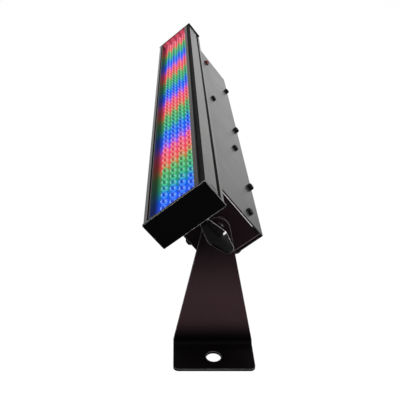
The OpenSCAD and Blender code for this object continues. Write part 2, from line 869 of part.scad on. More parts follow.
// Body of a mains socket through the back cover, with its rim outside
module mains_body() {
    translate([0, 0, 0]) linear_extrude(inlet_rim) rounded(inlet_len + 6, inlet_w + 6, 3);
    translate([-inlet_len / 2 + 0.2, -inlet_w / 2 + 0.2, -inlet_deep])
        cube([inlet_len - 0.4, inlet_w - 0.4, inlet_deep + 0.1]);
}

module power_inlet() {
    wall = 1.8;
    pin_h = 7.5;
    color([0.04, 0.04, 0.04]) tilted() on_back(inlet_x) {
        difference() {
            mains_body();
            translate([-inlet_len / 2 + wall, -inlet_w / 2 + wall, -inlet_deep + 2])
                cube([inlet_len - 2 * wall, inlet_w - 2 * wall, inlet_deep + inlet_rim]);
        }
        for (p = [[-7, -2], [0, 2], [7, -2]])
            translate([p[0] - 1, p[1] - 2, -inlet_deep + 2]) cube([2, 4, pin_h]);
    }
}

module power_outlet() {
    color([0.04, 0.04, 0.04]) tilted() on_back(outlet_x) difference() {
        mains_body();
        for (p = [[-7, -2], [0, 2], [7, -2]])
            translate([p[0] - 1.2, p[1] - 2.3, -inlet_deep + 4]) cube([2.4, 4.6, inlet_deep]);
    }
}

// Round body of a 3-pin data socket with a square rim held by two screws
module data_body() {
    linear_extrude(data_rim) rounded(26, 31, 3);
    translate([0, 0, -data_deep]) cylinder(d = data_d - 0.4, h = data_deep + 0.1);
    for (s = [-1, 1]) translate([s * 9, -s * 12, data_rim]) cylinder(d = 4.6, h = 1.2);
}

module contact_places() {
    for (a = [30, 150, 270]) rotate([0, 0, a]) translate([4.2, 0, 0]) children();
}

module data_inlet() {
    color([0.35, 0.35, 0.36]) tilted() on_back(data_in_x) {
        difference() {
            data_body();
            translate([0, 0, -data_deep + 2]) cylinder(d = 17, h = data_deep + data_rim);
        }
        translate([0, 0, -data_deep + 2]) contact_places() cylinder(d = 2.4, h = 8.5);
    }
}

module data_outlet() {
    color([0.35, 0.35, 0.36]) tilted() on_back(data_out_x) difference() {
        data_body();
        contact_places() translate([0, 0, -12]) cylinder(d = 2.6, h = 12 + data_rim + eps);
    }
}

module fuse_holder() {
    color([0.05, 0.05, 0.05]) tilted() on_back(fuse_x) difference() {
        union() {
            cylinder(d = fuse_d + 3, h = 1.5);
            translate([0, 0, -26]) cylinder(d = fuse_d - 0.4, h = 26);
        }
        translate([0, 0, -22]) cylinder(d = 7, h = 22 + 2);
    }
}

// Quarter-turn cap of the fuse holder, with a coin slot
module fuse_cap() {
    color([0.05, 0.05, 0.05]) tilted() on_back(fuse_x) difference() {
        union() {
            translate([0, 0, 1.5 + face_gap]) cylinder(d = fuse_d, h = 4);
            translate([0, 0, -18]) cylinder(d = 6.4, h = 18 + 3);
        }
        translate([-4, -0.7, 4]) cube([8, 1.4, 2]);
    }
}

// Black bezel of the lamp, with its body through the box's side
module lamp_bezel() {
    color([0.04, 0.04, 0.04]) tilted() on_side(1, lamp_x, lamp_z) difference() {
        union() {
            cylinder(d = lamp_d + 3, h = lamp_rim);
            translate([0, 0, -lamp_deep]) cylinder(d = lamp_hole_d - 0.2, h = lamp_deep + lamp_rim);
        }
        translate([0, 0, -lamp_deep + 2]) cylinder(d = lamp_d - 2.4, h = lamp_deep + lamp_rim);
    }
}

// Red lens with a round top, plugged into the bezel
module lamp_lens() {
    dome_h = 4;
    ball_r = (lamp_d * lamp_d / 4 + dome_h * dome_h) / (2 * dome_h);
    color([0.5, 0.05, 0.04]) tilted() on_side(1, lamp_x, lamp_z) {
        translate([0, 0, -3]) cylinder(d = lamp_d - 2.8, h = 3 + lamp_rim + eps);
        translate([0, 0, lamp_rim]) rotate_extrude() {
            square([lamp_d / 2, 1.5]);
            intersection() {
                translate([0, 1.5 + dome_h - ball_r]) circle(ball_r);
                translate([0, 1.5]) square([lamp_d / 2, dome_h]);
            }
        }
    }
}

// ---- Wiring ----

// Rubber grommet in the matching holes of the box's web and the housing's back
module cable_grommet() {
    rim_t = 1.5;
    color([0.03, 0.03, 0.03]) tilted() translate([grommet_x, 0, back_z - box_wall]) difference() {
        union() {
            cylinder(d = grommet_d - 0.2, h = box_wall + bar_wall);
            translate([0, 0, -rim_t]) cylinder(d = grommet_d + 4, h = rim_t);
            translate([0, 0, box_wall + bar_wall]) cylinder(d = grommet_d + 4, h = rim_t);
        }
        translate([0, 0, -rim_t - eps])
            cylinder(d = grommet_d - 5, h = box_wall + bar_wall + 2 * (rim_t + eps));
    }
}

// A wire of straight stretches with a ball at each corner
module wire(points, d) {
    for (i = [0 : len(points) - 2]) {
        a = points[i];
        b = points[i + 1];
        run = b - a;
        translate(a) rotate([0, acos(run[2] / norm(run)), atan2(run[1], run[0])])
            cylinder(d = d, h = norm(run));
    }
    for (i = [1 : len(points) - 2]) translate(points[i]) sphere(d = d + 0.6);
}

module wiring() {
    mains_z = -box_d / 2 + inlet_deep;
    data_z = -box_d / 2 + data_deep;
    psu_end = psu_len / 2;
    board_y = driver_y - board_t;
    color([0.6, 0.1, 0.1]) tilted() {
        wire([[inlet_x, 0, mains_z], [inlet_x, 0, -15], [-psu_end - 8, -20, -15], [-psu_end, -20, -15]], 5);
        wire([[psu_end, -20, 20], [grommet_x, -20, 20], [grommet_x, 0, 40], [grommet_x, 0, tray_floor_z]], 5);
        for (s = [-1, 1]) wire([[s * psu_end, -20, 5], [s * 170, -20, 5], [s * 170, board_y, 5]], 4);
        wire([[data_in_x, 0, data_z], [data_in_x, 0, -8], [data_in_x, board_y, -8]], 3);
        wire([[control_x + 11, 0, control_board_z], [control_x + 11, 0, -8], [control_x + 11, board_y, -8]], 3);
    }
}

right_bracket();
left_bracket();
right_knob();
left_knob();
right_stud();
left_stud();
right_washer();
left_washer();
friction_discs();
light_housing();
led_tray();
led_boards();
board_screws();
leds_blue();
leds_green();
leds_red();
corner_strip();
right_end_cap();
left_end_cap();
box_channel();
back_cover();
right_end_panel();
left_end_panel();
pivot_bosses();
side_screws();
panel_screws();
housing_screws();
psu_case();
psu_board();
right_driver_board();
left_driver_board();
board_standoffs();
card_rails();
control_board();
control_plate();
display_window();
menu_button_1();
menu_button_2();
menu_button_3();
menu_button_4();
power_inlet();
power_outlet();
fuse_holder();
fuse_cap();
data_inlet();
data_outlet();
lamp_bezel();
lamp_lens();
cable_grommet();
wiring();
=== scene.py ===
"""LED strip batten: materials, knobs, stage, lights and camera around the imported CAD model.

Everything is in metres in the model's own frame. Many patterns follow the tilted light bar, so
they are worked out in bar coordinates: x along the bar, y across it and z out of its front.
"""

import json
import math

import bmesh
import bpy
from mathutils import Matrix, Vector


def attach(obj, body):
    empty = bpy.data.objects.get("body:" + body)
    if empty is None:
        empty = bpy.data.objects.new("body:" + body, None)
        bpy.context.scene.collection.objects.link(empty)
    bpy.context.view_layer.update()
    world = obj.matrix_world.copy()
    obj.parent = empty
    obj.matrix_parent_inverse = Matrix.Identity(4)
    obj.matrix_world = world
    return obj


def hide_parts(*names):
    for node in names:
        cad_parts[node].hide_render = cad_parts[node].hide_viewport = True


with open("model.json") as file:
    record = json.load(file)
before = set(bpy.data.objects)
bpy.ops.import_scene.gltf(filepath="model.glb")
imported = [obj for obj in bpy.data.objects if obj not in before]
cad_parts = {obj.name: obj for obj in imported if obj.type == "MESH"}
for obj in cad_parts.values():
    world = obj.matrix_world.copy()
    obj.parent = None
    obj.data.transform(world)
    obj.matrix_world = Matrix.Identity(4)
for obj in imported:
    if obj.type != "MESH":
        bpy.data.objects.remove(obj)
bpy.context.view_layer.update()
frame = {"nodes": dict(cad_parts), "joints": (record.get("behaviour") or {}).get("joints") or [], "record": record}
nodes = frame["nodes"]

MM = 0.001
TILT = math.radians(39)
PIVOT = Vector((0, 0, next(j for j in frame["joints"] if j["name"] == "tilt")["pos_m"][2]))
BAR_TO_WORLD = Matrix.Translation(PIVOT) @ Matrix.Rotation(TILT, 4, "X")
WORLD_TO_BAR = BAR_TO_WORLD.inverted()


def bar_box(node):
    """Lowest and highest corner of a CAD node in bar coordinates."""
    points = [WORLD_TO_BAR @ v.co for v in nodes[node].data.vertices]
    low = Vector([min(p[i] for p in points) for i in range(3)])
    high = Vector([max(p[i] for p in points) for i in range(3)])
    return low, high


# The LED grid, as the CAD has it. Rows are counted from the near end, which is at +x.
ROWS = 48
BAND_ROWS = 4
PITCH_X = 20.5 * MM
PITCH_Y = 16.2 * MM
LENS_R = 7.0 * MM
lens_low, lens_high = bar_box("leds_blue")
LENS_FOOT = lens_low.z
GRID_X1 = lens_high.x + PITCH_X / 2 - LENS_R
GRID_X0 = GRID_X1 - ROWS * PITCH_X
GRID_Y0 = lens_low.y + LENS_R - PITCH_Y / 2
TRAY_TOP = bar_box("led_tray")[1].z

# ---- Node graphs ----


class Graph:
    """Builds the node tree of one material, or of the world."""

    def __init__(self, owner, output="ShaderNodeOutputMaterial"):
        owner.use_nodes = True
        self.tree = owner.node_tree
        self.tree.nodes.clear()
        self.output = self.add(output)

    def add(self, kind, **settings):
        node = self.tree.nodes.new(kind)
        for key, value in settings.items():
            setattr(node, key, value)
        return node

    def feed(self, socket, value):
        """Link an output to the socket, or set the socket's own value."""
        if isinstance(value, bpy.types.NodeSocket):
            self.tree.links.new(value, socket)
        elif isinstance(value, (tuple, list)) and len(value) == 3 and socket.type == "RGBA":
            socket.default_value = (*value, 1)
        else:
            socket.default_value = value

    def math(self, operation, a, b=0.0):
        node = self.add("ShaderNodeMath", operation=operation)
        self.feed(node.inputs[0], a)
        self.feed(node.inputs[1], b)
        return node.outputs[0]

    def plus(self, a, b):
        return self.math("ADD", a, b)

    def minus(self, a, b):
        return self.math("SUBTRACT", a, b)

    def times(self, a, b):
        return self.math("MULTIPLY", a, b)

    def ramp(self, value, low, high, out_low, out_high, kind="LINEAR"):
        """out_low below low, out_high above high, and a ramp between."""
        node = self.add("ShaderNodeMapRange", interpolation_type=kind)
        self.feed(node.inputs[0], value)
        for socket, limit in zip(node.inputs[1:5], (low, high, out_low, out_high)):
            socket.default_value = limit
        return node.outputs[0]

    def step(self, value, start, end):
        """0 on start's side, 1 on end's side, smooth between. start may be above end."""
        if start <= end:
            return self.ramp(value, start, end, 0.0, 1.0, "SMOOTHSTEP")
        return self.ramp(value, end, start, 1.0, 0.0, "SMOOTHSTEP")

    def stripe(self, value, low, high, soft):
        """1 from low to high and 0 outside, with borders of width soft."""
        return self.times(self.step(value, low, low + soft), self.step(value, high, high - soft))

    def mix(self, factor, a, b, blend="MIX"):
        node = self.add("ShaderNodeMix", data_type="RGBA", blend_type=blend)
        self.feed(node.inputs[0], factor)
        self.feed(node.inputs[6], a)
        self.feed(node.inputs[7], b)
        return node.outputs[2]

    def world(self):
        """Position in the model's frame."""
        return self.add("ShaderNodeTexCoord").outputs["Object"]

    def bar(self):
        """Bar coordinates as a vector and as its three parts."""
        place = self.add("ShaderNodeMapping", vector_type="TEXTURE")
        self.feed(place.inputs["Vector"], self.world())
        place.inputs["Location"].default_value = PIVOT
        place.inputs["Rotation"].default_value = (TILT, 0, 0)
        return place.outputs[0], self.split(place.outputs[0])

    def split(self, vector):
        parts = self.add("ShaderNodeSeparateXYZ")
        self.feed(parts.inputs[0], vector)
        return parts.outputs

    def scaled(self, vector, scale):
        place = self.add("ShaderNodeMapping")
        self.feed(place.inputs["Vector"], vector)
        place.inputs["Scale"].default_value = scale
        return place.outputs[0]

    def noise(self, vector, scale, detail=3.0, rough=0.5):
        node = self.add("ShaderNodeTexNoise")
        self.feed(node.inputs["Vector"], vector)
        node.inputs["Scale"].default_value = scale
        node.inputs["Detail"].default_value = detail
        node.inputs["Roughness"].default_value = rough
        return node.outputs["Fac"]

    def bump(self, height, strength, distance):
        node = self.add("ShaderNodeBump")
        self.feed(node.inputs["Height"], height)
        node.inputs["Strength"].default_value = strength
        node.inputs["Distance"].default_value = distance
        return node.outputs["Normal"]

    def painted_edge_highlights(self, base, radius, share, pale):
        """Mix a share of a paler colour in on sharp edges, where a bevel turns the normal: a painted highlight
        along the edges.
        """
        bevel = self.add("ShaderNodeBevel", samples=6)
        bevel.inputs["Radius"].default_value = radius
        flat = self.add("ShaderNodeNewGeometry").outputs["Normal"]
        apart = self.add("ShaderNodeVectorMath", operation="DISTANCE")
        self.feed(apart.inputs[0], bevel.outputs[0])
        self.feed(apart.inputs[1], flat)
        edge_highlight = self.step(apart.outputs["Value"], 0.02, 0.35)
        return self.mix(self.times(edge_highlight, share), base, pale)

    def shade(self, color, rough, normal=None, **sockets):
        """Finish the tree with a Principled shader. In a keyword, _ stands for a space."""
        shader = self.add("ShaderNodeBsdfPrincipled")
        self.feed(shader.inputs["Base Color"], color)
        self.feed(shader.inputs["Roughness"], rough)
        if normal is not None:
            self.feed(shader.inputs["Normal"], normal)
        for key, value in sockets.items():
            self.feed(shader.inputs[key.replace("_", " ")], value)
        self.feed(self.output.inputs["Surface"], shader.outputs[0])


paint = {}


def material_graph(name):
    """Graph of a new material, which paint then lists under its name."""
    paint[name] = bpy.data.materials.new(name)
    return Graph(paint[name])


def brighter(color, factor):
    return tuple(c * factor for c in color)


# ---- Plastics, metals and boards ----

# Noise scales of the finest grain, per metre
PAINT_GRAIN = 900
TRAY_GRAIN = 800
PLASTIC_GRAIN = 700
METAL_GRAIN = 500


def moulded(name, color, rough, specular, grain=0.1, coat=0.0, edge_highlight=None, rim=0.5 * MM):
    """Moulded plastic or rubber with a fine texture and, if asked, paler edges that are painted highlights."""
    g = material_graph(name)
    place = g.world()
    fine = g.noise(place, PLASTIC_GRAIN, 2)
    cloud = g.noise(place, 25, 3)
    base = g.mix(g.times(cloud, 0.5), color, brighter(color, 1.5))
    if edge_highlight:
        base = g.painted_edge_highlights(base, rim, 0.9, edge_highlight)
    roughness = g.plus(g.times(cloud, 0.1), rough - 0.05)
    g.shade(base, roughness, g.bump(fine, grain, 0.1 * MM),
            Specular_IOR_Level=specular, Coat_Weight=coat, Coat_Roughness=0.08)


def metal(name, color, rough, squeeze=(1, 1, 1)):
    """Bare or plated metal with fine lines, which run across the axis that squeeze scales up."""
    g = material_graph(name)
    place = g.world()
    lines = g.noise(g.scaled(place, squeeze), METAL_GRAIN, 3)
    cloud = g.noise(place, 30, 3)
    base = g.mix(cloud, color, brighter(color, 0.75))
    roughness = g.plus(g.times(lines, 0.2), rough - 0.1)
    g.shade(base, roughness, g.bump(lines, 0.1, 0.1 * MM), Metallic=1.0)


def circuit_board(name, mask_color, track_color):
    """Solder mask over a pattern of tracks, with a few tinned pads."""
    tin = (0.6, 0.6, 0.58)
    g = material_graph(name)
    place = g.world()
    tracks = g.add("ShaderNodeTexBrick")
    g.feed(tracks.inputs["Vector"], place)
    tracks.inputs["Scale"].default_value = 120
    tracks.inputs["Mortar Size"].default_value = 0.04
    pads = g.add("ShaderNodeTexVoronoi", feature="F1")
    g.feed(pads.inputs["Vector"], place)
    pads.inputs["Scale"].default_value = 260
    base = g.mix(g.times(tracks.outputs["Fac"], 0.6), mask_color, track_color)
    base = g.mix(g.step(pads.outputs["Distance"], 0.16, 0.12), base, tin)
    g.shade(base, 0.4, g.bump(tracks.outputs["Fac"], 0.2, 0.1 * MM))


# ---- Lit LEDs, and the tray round them with its painted glow ----

# Colour of the light against the row number inside a triple of bands, which is 12 rows long
BAND_STOPS = [
    (0.0, (0.6, 0.1, 0.78)),
    (0.8, (0.26, 0.12, 0.95)),
    (1.6, (0.03, 0.14, 1.0)),
    (3.2, (0.0, 0.18, 0.95)),
    (4.1, (0.01, 0.40, 0.5)),
    (5.0, (0.015, 0.54, 0.2)),
    (7.2, (0.1, 0.55, 0.1)),
    (8.1, (0.56, 0.36, 0.06)),
    (8.8, (0.98, 0.17, 0.08)),
    (10.0, (1.0, 0.12, 0.12)),
    (11.2, (1.0, 0.11, 0.25)),
    (12.0, (0.85, 0.12, 0.5)),
]
BAND_TRIPLE = 3 * BAND_ROWS

# The bands' colours hold still beyond these rows, so neither end takes up a border's colour
FIRST_BORDER_ROW = 2.1
LAST_BORDER_ROW = ROWS - 1.3

# Places on a lens, from its foot, in lens radii along x, y and z
DEEP_SPOT = (0.62, 0.16, 0.86)
# The glints are painted highlights in the lens's light
PAINTED_GLINTS = ((0.3, -0.42, 0.95), (0.75, 0.55, 0.75))

# Distances from those places, in lens radii, between which one look passes into the next
SPOT_TO_RIM = (0.26, 0.58)
PLAIN_TO_RIM = (0.95, 0.6)
PLAIN_TO_GLINT = (0.36, 0.1)

# The tray's end walls stand this far beyond the grid. They carry painted reflections of the lines
# of lenses in front of them, at these shares of the light's colour.
WALL_GAP = 1.5 * MM
PAINTED_REFLECTION_LENSES = (0.62, 0.62, 0.62)
PAINTED_REFLECTION_BOARD = (0.34, 0.34, 0.34)

# Keeps the argument of FRACT above zero everywhere on the bar
WHOLE_CELLS = 100.0


def band_colour(g, x):
    """Colour of the light at x along the bar: blue, green and red bands with soft borders."""
    row = g.math("DIVIDE", g.minus(GRID_X1, x), PITCH_X)
    row = g.math("MINIMUM", g.math("MAXIMUM", row, FIRST_BORDER_ROW), LAST_BORDER_ROW)
    ramp = g.add("ShaderNodeValToRGB")
    stops = ramp.color_ramp.elements
    while len(stops) < len(BAND_STOPS):
        stops.new(0.5)
    for stop, (at, color) in zip(stops, BAND_STOPS):
        stop.position = at / BAND_TRIPLE
        stop.color = (*color, 1)
    g.feed(ramp.inputs[0], g.math("FRACT", g.math("DIVIDE", row, BAND_TRIPLE)))
    return ramp.outputs[0]


def cell_offset(g, value, start, pitch):
    """Offset from the nearest lens axis in one direction, in lens radii."""
    cells = g.math("DIVIDE", g.minus(value, start), pitch)
    cell = g.math("FRACT", g.plus(cells, WHOLE_CELLS))
    return g.times(g.minus(cell, 0.5), pitch / LENS_R)


def spot_distance(g, place, centre):
    """Distance in lens radii between a point on a lens and a centre given from its foot."""
    squares = [g.math("POWER", g.minus(a, c), 2) for a, c in zip(place, centre)]
    return g.math("SQRT", g.plus(g.plus(squares[0], squares[1]), squares[2]))


def lens(name):
    """A lit lens: a deep spot on its near side, in a bright rim with pale glints that are painted highlights."""
    g = material_graph(name)
    _, (x, y, z) = g.bar()
    place = (cell_offset(g, x, GRID_X1, PITCH_X), cell_offset(g, y, GRID_Y0, PITCH_Y),
             g.math("DIVIDE", g.minus(z, LENS_FOOT), LENS_R))
    color = band_colour(g, x)
    deep = g.mix(1.0, color, (0.62, 0.34, 0.62), "MULTIPLY")
    plain = g.mix(1.0, color, (0.8, 0.6, 0.95), "MULTIPLY")
    bright = g.mix(0.13, color, (0.45, 0.95, 1.0))
    pale = g.mix(0.38, color, (0.75, 0.95, 1.0))
    away = spot_distance(g, place, DEEP_SPOT)
    rim = g.mix(g.step(away, *PLAIN_TO_RIM), plain, bright)
    light = g.mix(g.step(away, *SPOT_TO_RIM), deep, rim)
    # Painted highlights: pale glints mixed into the lens's light
    for centre in PAINTED_GLINTS:
        glint = g.step(spot_distance(g, place, centre), *PLAIN_TO_GLINT)
        light = g.mix(g.times(glint, 0.95), light, pale)
    g.shade((0.01, 0.01, 0.01), 0.3, IOR=1.49, Specular_IOR_Level=0.0,
            Emission_Color=light, Emission_Strength=1.0)


def tinted(name, color, rough, specular, reach, painted_glow):
    """Tray or board paint with a painted glow in the nearest LEDs' colour, which fades out over its reach; on the
    tray's end walls, painted reflections of the lenses.
    """
    g = material_graph(name)
    place, (x, y, z) = g.bar()
    fine = g.noise(place, TRAY_GRAIN, 2)
    cloud = g.noise(place, 40, 3)
    base = g.mix(g.times(cloud, 0.4), color, brighter(color, 1.5))
    # Painted glow: the LEDs' light spilling onto the paint, strongest at the lenses' foot
    near = g.math("POWER", g.ramp(z, LENS_FOOT + reach, LENS_FOOT, 0.0, 1.0), 1.6)
    level = g.mix(near, (0.0, 0.0, 0.0), painted_glow)

    # Painted reflections of the lenses and the board on the tray's end walls, below their top
    middle = g.step(g.math("ABSOLUTE", cell_offset(g, y, GRID_Y0, PITCH_Y)), 1.0, 0.3)
    painted_reflection = g.mix(middle, PAINTED_REFLECTION_BOARD, PAINTED_REFLECTION_LENSES)
    far_wall = g.step(x, GRID_X0 - WALL_GAP, GRID_X0 - WALL_GAP - 1 * MM)
    near_wall = g.step(x, GRID_X1 + WALL_GAP, GRID_X1 + WALL_GAP + 1 * MM)
    wall = g.times(g.math("MAXIMUM", far_wall, near_wall),
                   g.step(z, TRAY_TOP, TRAY_TOP - 3 * MM))
    level = g.mix(wall, level, painted_reflection)
    light = g.mix(1.0, band_colour(g, x), level, "MULTIPLY")
    g.shade(base, rough, g.bump(fine, 0.1, 0.1 * MM), Specular_IOR_Level=specular,
            Emission_Color=light, Emission_Strength=1.0)


# ---- Painted metal ----


def box_paint():
    """Black paint with a fine orange-peel grain, faint dust, and paler edges that are painted highlights."""
    black = (0.02, 0.0195, 0.0195)
    # pale is the colour of the dust and of the painted highlights on the edges
    pale = (0.07, 0.0685, 0.0685)
    g = material_graph("box_paint")
    place = g.world()
    fine = g.noise(place, PAINT_GRAIN, 2)
    cloud = g.noise(place, 9, 4, 0.6)
    marks = g.noise(g.scaled(place, (1, 6, 6)), 60, 5, 0.7)
    dust = g.times(g.step(cloud, 0.45, 0.75), g.step(marks, 0.5, 0.75))
    base = g.mix(g.times(dust, 0.2), black, pale)
    base = g.painted_edge_highlights(base, 0.5 * MM, 0.8, pale)
    rough = g.plus(g.times(cloud, 0.12), 0.18)
    g.shade(base, rough, g.bump(fine, 0.12, 0.15 * MM), Specular_IOR_Level=0.5)


def housing_paint():
    """Painted extrusion with fine lines along its length, and paler edges that are painted highlights."""
    black = (0.024, 0.023, 0.022)
    lined = (0.04, 0.038, 0.036)
    # pale is the colour of the paler patches and of the painted highlights on the edges
    pale = (0.1, 0.1, 0.1)
    g = material_graph("housing_paint")
    place, _ = g.bar()
    lines = g.noise(g.scaled(place, (2, 900, 900)), 1, 3)
    fine = g.noise(place, PAINT_GRAIN, 2)
    cloud = g.noise(place, 10, 4, 0.6)
    base = g.mix(g.times(lines, 0.35), black, lined)
    base = g.mix(g.times(g.step(cloud, 0.5, 0.8), 0.2), base, pale)
    base = g.painted_edge_highlights(base, 0.4 * MM, 0.8, pale)
    height = g.plus(g.times(fine, 0.3), lines)
    rough = g.plus(g.times(lines, 0.08), 0.18)
    g.shade(base, rough, g.bump(height, 0.1, 0.1 * MM), Specular_IOR_Level=0.5)


def bracket_paint():
    """Brown-black paint with painted shade, darker on the foot and towards the pivot, and painted highlights on
    its cut edges.
    """
    brown = (0.032, 0.017, 0.02)
    shaded_brown = (0.007, 0.0035, 0.0045)
    shaded_foot_black = (0.0015, 0.001, 0.0012)
    worn = (0.022, 0.013, 0.015)
    pale = (0.3, 0.28, 0.28)
    g = material_graph("bracket_paint")
    place = g.world()
    height = g.split(place)[2]
    fine = g.noise(place, PAINT_GRAIN, 2)
    cloud = g.noise(place, 12, 4, 0.6)
    # Painted shade: darker towards the pivot at the top and on the foot at the bottom
    base = g.mix(g.step(height, 0.09, 0.19), brown, shaded_brown)
    base = g.mix(g.step(height, 0.055, 0.012), base, shaded_foot_black)
    base = g.mix(g.times(g.step(cloud, 0.5, 0.8), 0.2), base, worn)
    base = g.painted_edge_highlights(base, 0.7 * MM, 0.8, pale)
    rough = g.plus(g.times(cloud, 0.1), 0.5)
    g.shade(base, rough, g.bump(fine, 0.12, 0.15 * MM), Specular_IOR_Level=0.05)


def panel_paint():
    """Brown-black end panels: painted highlights make a bright line along the right fold, a dull one at the back
    and paler edges.
    """
    brown = (0.007, 0.002, 0.004)
    paler_brown = (0.011, 0.005, 0.007)
    edge_highlight = (0.09, 0.065, 0.065)
    back_black = (0.001, 0.001, 0.001)
    dull_fold_highlight = (0.14, 0.1, 0.1)
    fold_highlight = (0.95, 0.95, 0.95)
    low, high = bar_box("right_end_panel")
    g = material_graph("panel_paint")
    place, (_, y, z) = g.bar()
    fine = g.noise(place, PAINT_GRAIN, 2)
    cloud = g.noise(place, 12, 4, 0.6)
    # The side line, a painted highlight, stops short of the back
    side_fold_highlight = g.times(g.stripe(y, high.y - 2.3 * MM, high.y - 0.8 * MM, 0.3 * MM),
                        g.step(z, low.z + 18 * MM, low.z + 21 * MM))
    back_fold_highlight = g.stripe(z, low.z + 2.4 * MM, low.z + 3.6 * MM, 0.3 * MM)
    back = g.step(z, low.z + 2.7 * MM, low.z + 2.4 * MM)
    base = g.mix(g.times(cloud, 0.4), brown, paler_brown)
    base = g.painted_edge_highlights(base, 0.5 * MM, 0.8, edge_highlight)
    base = g.mix(back, base, back_black)
    base = g.mix(back_fold_highlight, base, dull_fold_highlight)
    base = g.mix(side_fold_highlight, base, fold_highlight)
    rough = g.ramp(side_fold_highlight, 0, 1, 0.5, 0.3)
    g.shade(base, rough, g.bump(fine, 0.12, 0.15 * MM), Specular_IOR_Level=0.12)


# After the colour: roughness, then specular level, except for metal. tinted also takes the height
# that its painted glow of the LEDs' light reaches, and how strong that glow is in red, green and blue.
bracket_paint()
box_paint()
panel_paint()
housing_paint()
tinted("tray_paint", (0.022, 0.016, 0.016), 0.32, 0.14, 9 * MM, (0.32, 0.29, 0.48))
tinted("led_board_mask", (0.01, 0.01, 0.012), 0.4, 0.3, 4 * MM, (0.75, 0.4, 0.6))
lens("lens_blue")
lens("lens_green")
lens("lens_red")
moulded("strip_rubber", (0.002, 0.002, 0.002), 0.6, 0.035)
# The cap and the knob get painted highlights along their edges
moulded("cap_plastic", (0.0015, 0.0015, 0.0016), 0.6, 0.03, edge_highlight=(0.6, 0.6, 0.6))
moulded("knob_plastic", (0.002, 0.0018, 0.0022), 0.16, 0.5, grain=0.02,
        edge_highlight=(0.8, 0.77, 0.82), rim=0.8 * MM)
moulded("friction_fibre", (0.02, 0.018, 0.016), 0.85, 0.2, grain=0.5)
moulded("black_plastic", (0.012, 0.012, 0.012), 0.4, 0.4)
moulded("display_plastic", (0.05, 0.003, 0.003), 0.1, 0.5, grain=0.0, coat=0.5)
moulded("button_plastic", (0.35, 0.35, 0.36), 0.4, 0.4)
moulded("lamp_red", (0.14, 0.02, 0.014), 0.18, 0.5, grain=0.02, coat=0.4)
moulded("wire_cover", (0.3, 0.02, 0.02), 0.4, 0.4)
metal("black_screws", (0.02, 0.02, 0.02), 0.4)
metal("bright_steel", (0.55, 0.55, 0.56), 0.3)
metal("psu_steel", (0.6, 0.61, 0.62), 0.35, squeeze=(20, 1, 1))
metal("standoff_brass", (0.65, 0.45, 0.16), 0.25)
metal("socket_metal", (0.16, 0.16, 0.165), 0.35)
circuit_board("pcb_green", (0.01, 0.08, 0.03), (0.02, 0.14, 0.05))

slot_of = {s["node"]: s["material_slot"] for s in frame["record"]["subparts"]}
for name, node in nodes.items():
    for slot in node.material_slots:
        slot.material = paint[slot_of[name]]


def add_object(name, data, place=(0, 0, 0)):
    obj = bpy.data.objects.new(name, data)
    obj.location = place
    bpy.context.scene.collection.objects.link(obj)
    return obj


# ---- Hand knobs ----

KNOB_HUB_R = 15 * MM
KNOB_TIP_R = 8.5 * MM
KNOB_COLLAR_R = 11 * MM
KNOB_ARC_STEPS = 14
COLLAR_STEPS = 48
SHARP_ANGLE = math.radians(40)

# How much lower the tips of the wings are: nothing up to the first share of the height, this
# share of it at the second
WING_DROP = 0.22
WING_DROP_FROM = 0.4
WING_DROP_TO = 0.9

# Rings of the winged body: share of the outline's width, share of the height
KNOB_RINGS = [
    (0.8, 0.31), (0.93, 0.33), (0.99, 0.38), (1.0, 0.5), (1.0, 0.76), (0.88, 0.815),
    (0.74, 0.87), (0.6, 0.915), (0.45, 0.955), (0.3, 0.98), (0.12, 1.0),
]

# Rings of the collar below the wings: radius, share of the height
COLLAR_RINGS = [
    (KNOB_COLLAR_R * 0.97, 0.0), (KNOB_COLLAR_R, 0.02), (KNOB_COLLAR_R, 0.34),
    (KNOB_COLLAR_R * 0.9, 0.36),
]


def knob_outline(reach):
    """Points round two tip circles and the hub between them, each with its circle's centre."""
    turn = math.acos((KNOB_HUB_R - KNOB_TIP_R) / reach)
    arcs = [
        (reach, KNOB_TIP_R, -turn, turn),
        (0.0, KNOB_HUB_R, turn, math.pi - turn),
        (-reach, KNOB_TIP_R, math.pi - turn, math.pi + turn),
        (0.0, KNOB_HUB_R, math.pi + turn, 2 * math.pi - turn),
    ]
    points = []
    for centre, radius, start, end in arcs:
        for i in range(KNOB_ARC_STEPS + 1):
            a = start + (end - start) * i / KNOB_ARC_STEPS
            points.append((centre, radius * math.cos(a), radius * math.sin(a)))
    return points


def skin(bm, rings):
    """Faces between each ring of vertices and the next, and one over either end."""
    for lower, upper in zip(rings, rings[1:]):
        for i in range(len(lower)):
            j = (i + 1) % len(lower)
            bm.faces.new((lower[i], lower[j], upper[j], upper[i]))
    bm.faces.new(rings[-1])
    bm.faces.new(list(reversed(rings[0])))


